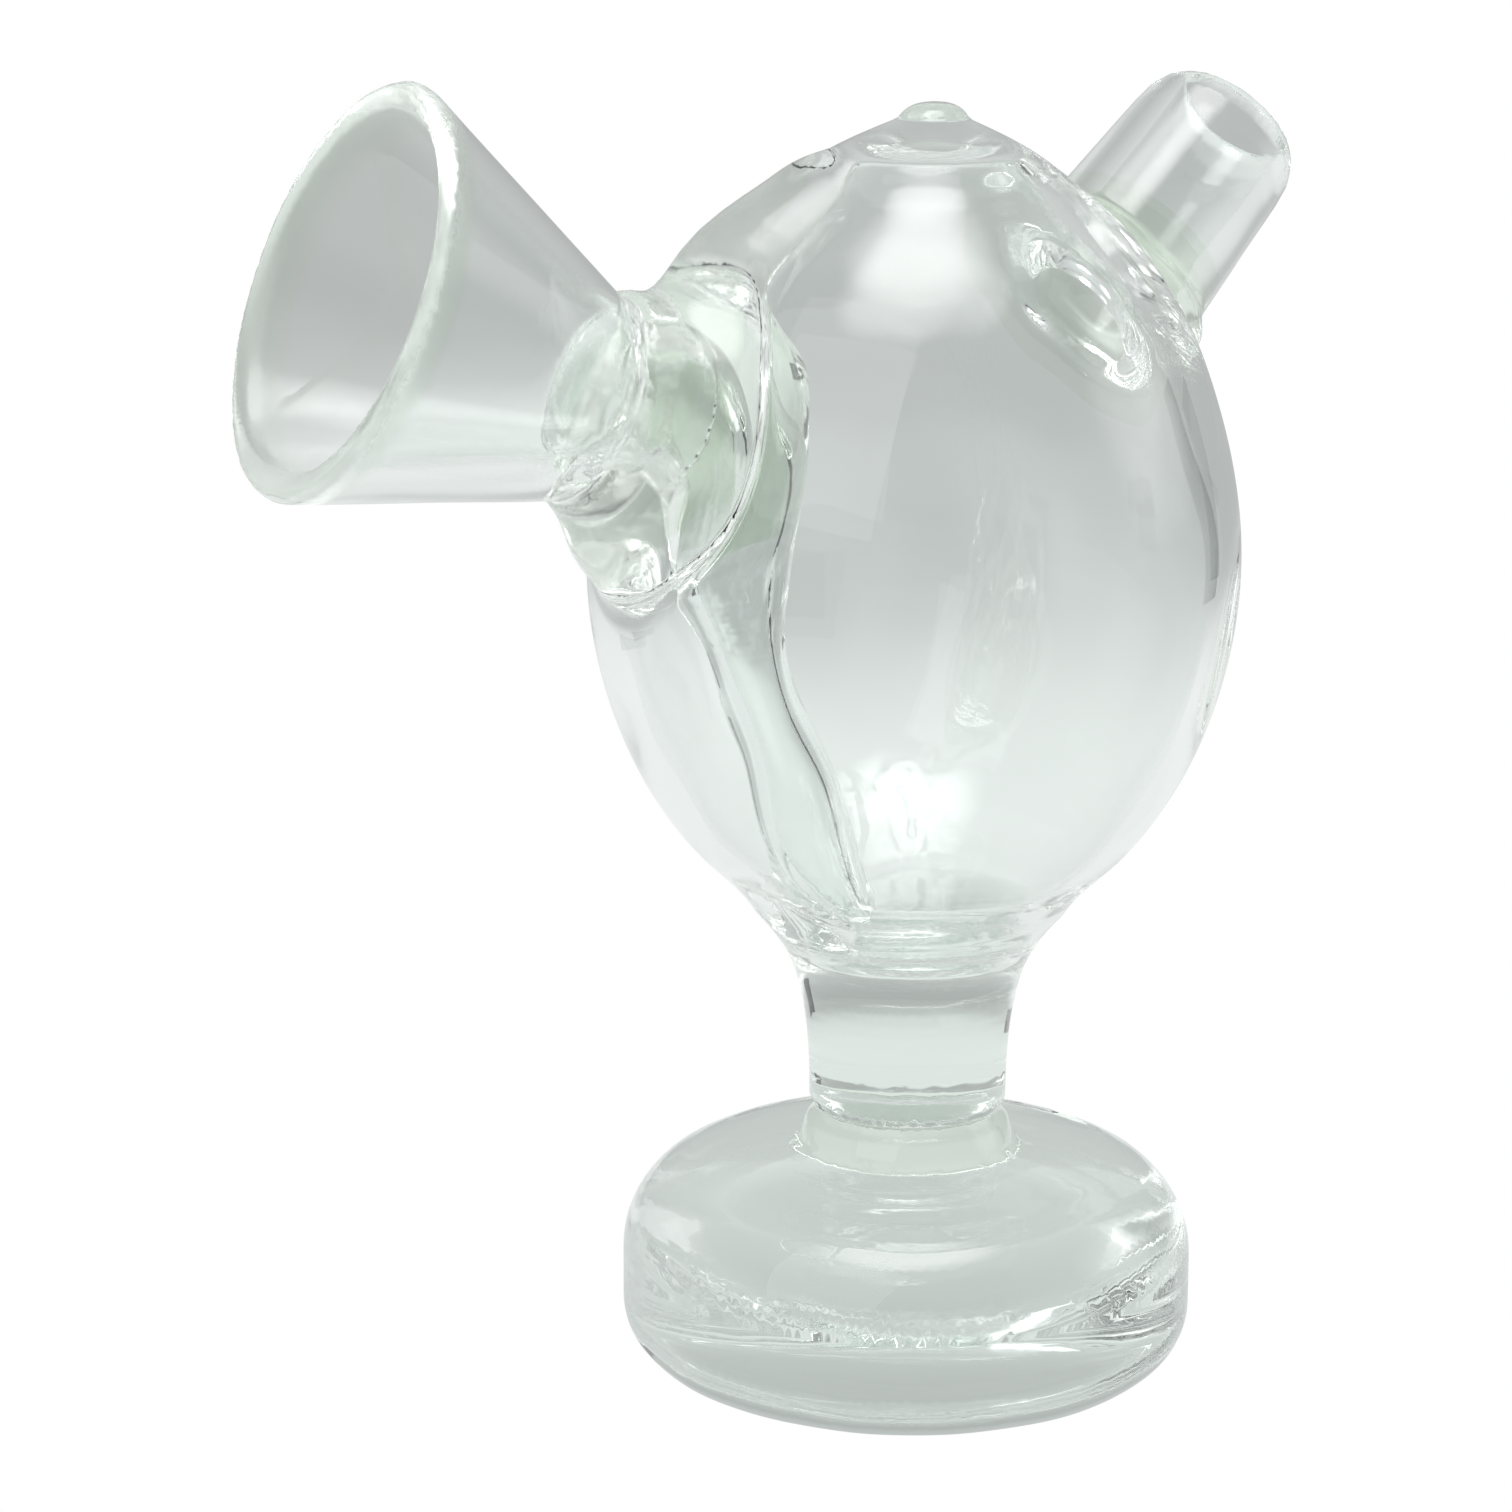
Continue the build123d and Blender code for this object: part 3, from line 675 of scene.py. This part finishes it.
def times_plus(nodes, links, value, factor, added):
    """value * factor + added."""
    node = nodes.new("ShaderNodeMath")
    node.operation = "MULTIPLY_ADD"
    links.new(value, node.inputs[0])
    node.inputs[1].default_value = factor
    links.new(added, node.inputs[2])
    return node.outputs[0]


def glass_material(name, thin, thick, rough, bump, cloud_scale, grain, mottle=0.25):
    """Clear glass: greener where thick, milky at the rim, uneven in gloss, with fine lines of the melt."""
    material = bpy.data.materials.new(name)
    material.use_nodes = True
    nodes, links = material.node_tree.nodes, material.node_tree.links
    shader = nodes["Principled BSDF"]
    shader.inputs["Transmission Weight"].default_value = 1.0
    shader.inputs["IOR"].default_value = 1.47
    where = nodes.new("ShaderNodeTexCoord").outputs["Object"]
    rim = attribute(nodes, "rim")

    cloud = noise(nodes, links, cloud_scale, 3.0, where)
    tint = ramp(nodes, [(0.12, thin), (0.75, thick)])
    links.new(times_plus(nodes, links, cloud, mottle, attribute(nodes, "depth")), tint.inputs["Fac"])
    milky = nodes.new("ShaderNodeMix")
    milky.data_type = "RGBA"
    links.new(rim, milky.inputs["Factor"])
    links.new(tint.outputs["Color"], milky.inputs[6])
    milky.inputs[7].default_value = (*RIM_TINT, 1)
    links.new(milky.outputs[2], shader.inputs["Base Color"])

    gloss = nodes.new("ShaderNodeMapRange")
    gloss.inputs["From Min"].default_value = 0.45
    gloss.inputs["From Max"].default_value = 0.8
    gloss.inputs["To Min"].default_value = 0.0
    gloss.inputs["To Max"].default_value = rough
    links.new(noise(nodes, links, cloud_scale * 1.7, 4.0, where), gloss.inputs["Value"])
    links.new(times_plus(nodes, links, rim, RIM_ROUGH, gloss.outputs["Result"]), shader.inputs["Roughness"])

    dent = nodes.new("ShaderNodeBump")
    dent.inputs["Strength"].default_value = 1.0
    dent.inputs["Distance"].default_value = bump
    links.new(noise(nodes, links, grain, 2.0, where, (1.0, 1.0, 0.5)), dent.inputs["Height"])
    links.new(dent.outputs["Normal"], shader.inputs["Normal"])
    return material


def clear_material(name):
    """For the cut faces: they lie inside the fused glass, where nothing is to be seen."""
    material = bpy.data.materials.new(name)
    material.use_nodes = True
    nodes = material.node_tree.nodes
    nodes.remove(nodes["Principled BSDF"])
    see_through = nodes.new("ShaderNodeBsdfTransparent")
    material.node_tree.links.new(see_through.outputs[0], nodes["Material Output"].inputs["Surface"])
    return material


CLEAR = glass_material("clear_blown", (0.975, 0.99, 0.983), (0.915, 0.955, 0.935),
                       rough=0.012, bump=0.00002, cloud_scale=90.0, grain=60.0)
THICK = glass_material("thick_pressed", (0.94, 0.965, 0.95), (0.84, 0.895, 0.865),
                       rough=0.02, bump=0.00002, cloud_scale=140.0, grain=90.0)
WELD = glass_material("weld_melted", (0.96, 0.985, 0.955), (0.80, 0.865, 0.785),
                      rough=0.03, bump=0.00004, cloud_scale=240.0, grain=420.0, mottle=0.8)
INSIDE = clear_material("inside_the_glass")
LOOKS = {
    "foot": ("pressed_foot", THICK), "stem_weld": ("foot_boss", WELD), "stem": ("stem_rod", THICK),
    "chamber_floor": ("body_floor", THICK), "chamber": ("blown_body", CLEAR),
    "apex_bead": ("apex_point", WELD), "funnel": ("funnel_cone", CLEAR),
    "funnel_weld": ("funnel_collar", WELD),
    "shoulder_bead": ("shoulder_filler", WELD), "downstem": ("inner_tube", CLEAR),
    "downstem_weld": ("inner_tube_root", WELD), "mouthpiece": ("mouthpiece_tube", CLEAR),
    "mouthpiece_weld": ("mouthpiece_ring", WELD),
}


def thickness(points, normals):
    """How much glass lies under each point, from 0 to 1."""
    deep = np.zeros(len(points))
    open_way = np.ones(len(points), bool)
    for step in (0.6, 1.2, 1.8, 2.6, 3.6, 5.0, 7.0, THICKEST):
        value = glass(points - step * normals)
        open_way &= value < 0
        deep = np.where(open_way, step, deep)
    return np.clip(deep / THICKEST, 0, 1)


def lip(points):
    """1 on the funnel's fire-polished lip, 0 elsewhere."""
    along, away = along_axis(points, FUNNEL_BASE, FUNNEL_DIR)
    return window(along, RIM_FROM, 30.0, RIM_SOFT) * (away < 20.0)


def corner_normals(points, triangles, cap, normals):
    """Smooth normals from the field, and flat ones on the cut faces and where the two disagree."""
    a, b, c = (points[triangles[:, i]] for i in range(3))
    flat = np.cross(b - a, c - a)
    flat = flat / np.maximum(np.sqrt((flat ** 2).sum(1, keepdims=True)), 1e-12)
    corner = normals[triangles.reshape(-1)].reshape(-1, 3, 3)
    wrong = (corner * flat[:, None, :]).sum(2) < 0.3
    return np.where(wrong[:, :, None] | cap[:, None, None], flat[:, None, :], corner)


def store(mesh, name, values):
    """Keeps one value for each point of the mesh."""
    mesh.attributes.new(name, "FLOAT", "POINT").data.foreach_set("value", values.astype(np.float32))


def build_piece(node, solid):
    """The visible piece of one CAD node."""
    points, triangles, cap = solid
    name, material = LOOKS[node]
    mesh = bpy.data.meshes.new(name)
    mesh.from_pydata((points * MM).tolist(), [], triangles.tolist())
    mesh.materials.append(material)
    mesh.materials.append(INSIDE)
    mesh.polygons.foreach_set("material_index", cap.astype(np.int32))
    mesh.polygons.foreach_set("use_smooth", np.ones(len(triangles), bool))
    normals = gradient(points)
    normals = normals / np.maximum(np.sqrt((normals ** 2).sum(1, keepdims=True)), 1e-6)
    store(mesh, "depth", thickness(points, normals))
    store(mesh, "rim", np.maximum(lip(points), MILKY.get(node, 0.0)))
    mesh.update()
    corners = corner_normals(points, triangles, cap, normals)
    mesh.normals_split_custom_set(corners.reshape(-1, 3).tolist())
    piece = bpy.data.objects.new(name, mesh)
    bpy.context.scene.collection.objects.link(piece)
    piece.visible_shadow = False
    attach(piece, "root")
    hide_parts(node)


for node in LOOKS:
    build_piece(node, pieces[node])

# ---- Stage, light and camera -------------------------------------------------------------------------
MIDDLE = (cad_low + cad_high) / 2
# The studio's light is faintly green-blue.
CAST = (0.972, 1.0, 0.99)
# The floor: half its width, and how far it lies below the foot, in metres.
REACH = 3.0
FLOOR_GAP = 0.00005
# The painted shade at the foot: darkest share of the floor's white, and how far it reaches, in metres.
FLOOR_SHADE, FLOOR_SHADE_REACH = 0.80, 0.012
# What the glass sees of the floor, a glow with painted light and shade, darker under the object and far off:
# share of the way to FLOOR_FAR from the object, brightness.
FLOOR_FAR = 0.6
FLOOR_TONES = [(0.0, 0.66), (0.03, 0.69), (0.07, 0.88), (0.2, 0.90), (0.33, 0.80), (0.52, 0.60),
               (0.75, 0.52), (1.0, 0.50)]
# What it sees of the walls, from straight below to straight above, and soft patches on them: azimuth,
# elevation, inner and outer radius in degrees, brightness.
SKY_TONES = [(0.0, 0.56), (0.48, 0.45), (0.56, 0.485), (0.72, 0.62), (0.87, 0.72), (0.95, 0.9), (1.0, 1.2)]
PATCHES = [(-118, 84, 10, 26, 6.5), (-18, 20, 6, 24, 1.7), (150, 12, 10, 40, 0.9), (-118, 4, 12, 26, 0.38)]


def cast_tones(tones):
    """Stops of a ramp in the studio's tint."""
    return [(place, tuple(value * share for share in CAST)) for place, value in tones]


def floor_material():
    """White to the camera, with a soft painted shade at the foot, and a pale grey glow with painted light
    and shade to the glass.
    """
    material = bpy.data.materials.new("pale_floor")
    material.use_nodes = True
    nodes, links = material.node_tree.nodes, material.node_tree.links
    nodes.remove(nodes["Principled BSDF"])
    # Painted shade: ambient occlusion darkens the floor's white glow near the foot, as a painted contact
    # shadow.
    shade = nodes.new("ShaderNodeAmbientOcclusion")
    shade.inputs["Distance"].default_value = FLOOR_SHADE_REACH
    soft = ramp(nodes, [(0.0, (FLOOR_SHADE,) * 3), (1.0, (1.0,) * 3)])
    links.new(shade.outputs["AO"], soft.inputs["Fac"])
    bright, grey = nodes.new("ShaderNodeEmission"), nodes.new("ShaderNodeEmission")
    links.new(soft.outputs["Color"], bright.inputs["Color"])
    far = nodes.new("ShaderNodeVectorMath")
    far.operation = "LENGTH"
    links.new(nodes.new("ShaderNodeTexCoord").outputs["Object"], far.inputs[0])
    fade = nodes.new("ShaderNodeMapRange")
    fade.inputs["From Max"].default_value = FLOOR_FAR
    links.new(far.outputs["Value"], fade.inputs["Value"])
    # Painted light and shade: the grey glow the glass sees is graded by distance from the object.
    spread = ramp(nodes, cast_tones(FLOOR_TONES))
    links.new(fade.outputs["Result"], spread.inputs["Fac"])
    links.new(spread.outputs["Color"], grey.inputs["Color"])
    mix = nodes.new("ShaderNodeMixShader")
    links.new(nodes.new("ShaderNodeLightPath").outputs["Is Camera Ray"], mix.inputs[0])
    links.new(grey.outputs[0], mix.inputs[1])
    links.new(bright.outputs[0], mix.inputs[2])
    links.new(mix.outputs[0], nodes["Material Output"].inputs["Surface"])
    return material


def lay_floor():
    """A plain floor just under the foot."""
    z = cad_low.z - FLOOR_GAP
    mesh = bpy.data.meshes.new("pale_floor")
    mesh.from_pydata([(-REACH, -REACH, z), (REACH, -REACH, z), (REACH, REACH, z), (-REACH, REACH, z)],
                     [], [(0, 1, 2, 3)])
    mesh.materials.append(floor_material())
    floor = bpy.data.objects.new("pale_floor", mesh)
    bpy.context.scene.collection.objects.link(floor)


def direction_of(azimuth, elevation):
    """A unit vector from two angles in degrees."""
    turn, rise = math.radians(azimuth), math.radians(elevation)
    return Vector((math.cos(rise) * math.cos(turn), math.cos(rise) * math.sin(turn), math.sin(rise)))


def patch(nodes, links, direction, colour, azimuth, elevation, inner, outer, value):
    """A round soft patch of the studio's walls, brighter or darker than what is round it."""
    facing = nodes.new("ShaderNodeVectorMath")
    facing.operation = "DOT_PRODUCT"
    links.new(direction, facing.inputs[0])
    facing.inputs[1].default_value = direction_of(azimuth, elevation)
    edge = nodes.new("ShaderNodeMapRange")
    edge.interpolation_type = "SMOOTHSTEP"
    edge.inputs["From Min"].default_value = math.cos(math.radians(outer))
    edge.inputs["From Max"].default_value = math.cos(math.radians(inner))
    links.new(facing.outputs["Value"], edge.inputs["Value"])
    mix = nodes.new("ShaderNodeMix")
    mix.data_type = "RGBA"
    links.new(edge.outputs["Result"], mix.inputs["Factor"])
    links.new(colour, mix.inputs[6])
    mix.inputs[7].default_value = (value, value, value, 1)
    return mix.outputs[2]


def light_studio():
    """The surroundings: white to the camera, and graded pale walls with soft patches to the glass."""
    world = bpy.data.worlds.new("studio")
    bpy.context.scene.world = world
    world.use_nodes = True
    nodes, links = world.node_tree.nodes, world.node_tree.links
    grey = nodes["Background"]
    white = nodes.new("ShaderNodeBackground")
    white.inputs["Color"].default_value = (1, 1, 1, 1)
    direction = nodes.new("ShaderNodeTexCoord").outputs["Generated"]
    sky = nodes.new("ShaderNodeSeparateXYZ")
    links.new(direction, sky.inputs[0])
    lift = nodes.new("ShaderNodeMapRange")
    lift.inputs["From Min"].default_value = -1.0
    links.new(sky.outputs["Z"], lift.inputs["Value"])
    tone = ramp(nodes, cast_tones(SKY_TONES))
    links.new(lift.outputs[0], tone.inputs["Fac"])
    felt = tone.outputs["Color"]
    for angles_and_value in PATCHES:
        felt = patch(nodes, links, direction, felt, *angles_and_value)
    links.new(felt, grey.inputs["Color"])
    pick = nodes.new("ShaderNodeMixShader")
    links.new(nodes.new("ShaderNodeLightPath").outputs["Is Camera Ray"], pick.inputs[0])
    links.new(grey.outputs[0], pick.inputs[1])
    links.new(white.outputs[0], pick.inputs[2])
    links.new(pick.outputs[0], nodes["World Output"].inputs["Surface"])


def soft_box(name, azimuth, elevation, distance, width, height, radiance):
    """A rectangular lamp that points at the object's middle. Radiance is what a reflection of it shows."""
    away = direction_of(azimuth, elevation)
    light = bpy.data.lights.new(name, "AREA")
    light.shape = "RECTANGLE"
    light.size, light.size_y = width, height
    light.energy = radiance * math.pi * width * height
    lamp = bpy.data.objects.new(name, light)
    facing = away.to_track_quat("Z", "Y").to_matrix().to_4x4()
    lamp.matrix_world = Matrix.Translation(MIDDLE + distance * away) @ facing
    lamp.visible_camera = False
    bpy.context.scene.collection.objects.link(lamp)


def dark_card(name, azimuth, distance, width, height, tone):
    """An upright card on the floor, out of the camera's sight, that gives the tubes' edges their outline."""
    away = direction_of(azimuth, 0)
    aside = Vector((-away.y, away.x, 0))
    low_middle = MIDDLE * Vector((1, 1, 0)) + distance * away
    corners = [low_middle - aside * width / 2, low_middle + aside * width / 2]
    corners += [corners[1] + Vector((0, 0, height)), corners[0] + Vector((0, 0, height))]
    mesh = bpy.data.meshes.new(name)
    mesh.from_pydata([tuple(c) for c in corners], [], [(0, 1, 2, 3)])
    material = bpy.data.materials.new(name)
    material.use_nodes = True
    nodes = material.node_tree.nodes
    nodes.remove(nodes["Principled BSDF"])
    glow = nodes.new("ShaderNodeEmission")
    glow.inputs["Color"].default_value = (tone, tone, tone, 1)
    material.node_tree.links.new(glow.outputs[0], nodes["Material Output"].inputs["Surface"])
    mesh.materials.append(material)
    card = bpy.data.objects.new(name, mesh)
    card.visible_camera = False
    card.visible_shadow = False
    card.visible_diffuse = False
    bpy.context.scene.collection.objects.link(card)


lay_floor()
light_studio()
dark_card("dark_card_right", azimuth=7, distance=0.35, width=0.055, height=0.115, tone=0.03)
dark_card("dark_card_left", azimuth=124, distance=0.16, width=0.05, height=0.02, tone=0.10)
dark_card("dark_card_front", azimuth=-160, distance=0.30, width=0.12, height=0.085, tone=0.02)
soft_box("window_box", azimuth=-155, elevation=36, distance=0.8, width=0.7, height=0.75, radiance=0.9)

# The camera: place in metres, heading, pitch downwards and roll in degrees, lens in millimetres.
CAMERA_AT = (-0.1391, -0.2410, 0.10586)
CAMERA_HEADING, CAMERA_PITCH, CAMERA_ROLL = 62.1, 13.084, 0.148
CAMERA_LENS, CAMERA_SENSOR = 103.57, 36.0


def set_camera():
    """Looks slightly down at the object, a little to the side of the plane that holds the funnel."""
    camera = bpy.data.cameras.new("camera")
    camera.lens, camera.sensor_width = CAMERA_LENS, CAMERA_SENSOR
    camera.clip_start, camera.clip_end = 0.01, 20.0
    viewer = bpy.data.objects.new("camera", camera)
    forward = direction_of(CAMERA_HEADING, -CAMERA_PITCH)
    right = forward.cross(Vector((0, 0, 1))).normalized()
    up = right.cross(forward)
    roll = math.radians(CAMERA_ROLL)
    right, up = math.cos(roll) * right + math.sin(roll) * up, math.cos(roll) * up - math.sin(roll) * right
    facing = Matrix((right, up, -forward)).transposed().to_4x4()
    viewer.matrix_world = Matrix.Translation(CAMERA_AT) @ facing
    bpy.context.scene.collection.objects.link(viewer)
    bpy.context.scene.camera = viewer


set_camera()
scene = bpy.context.scene
scene.view_settings.view_transform = "Standard"
# Light crosses the walls of the tubes, the body and the thick foot many times.
scene.cycles.max_bounces = 64
scene.cycles.transmission_bounces = 64
scene.cycles.glossy_bounces = 64
scene.cycles.transparent_max_bounces = 128
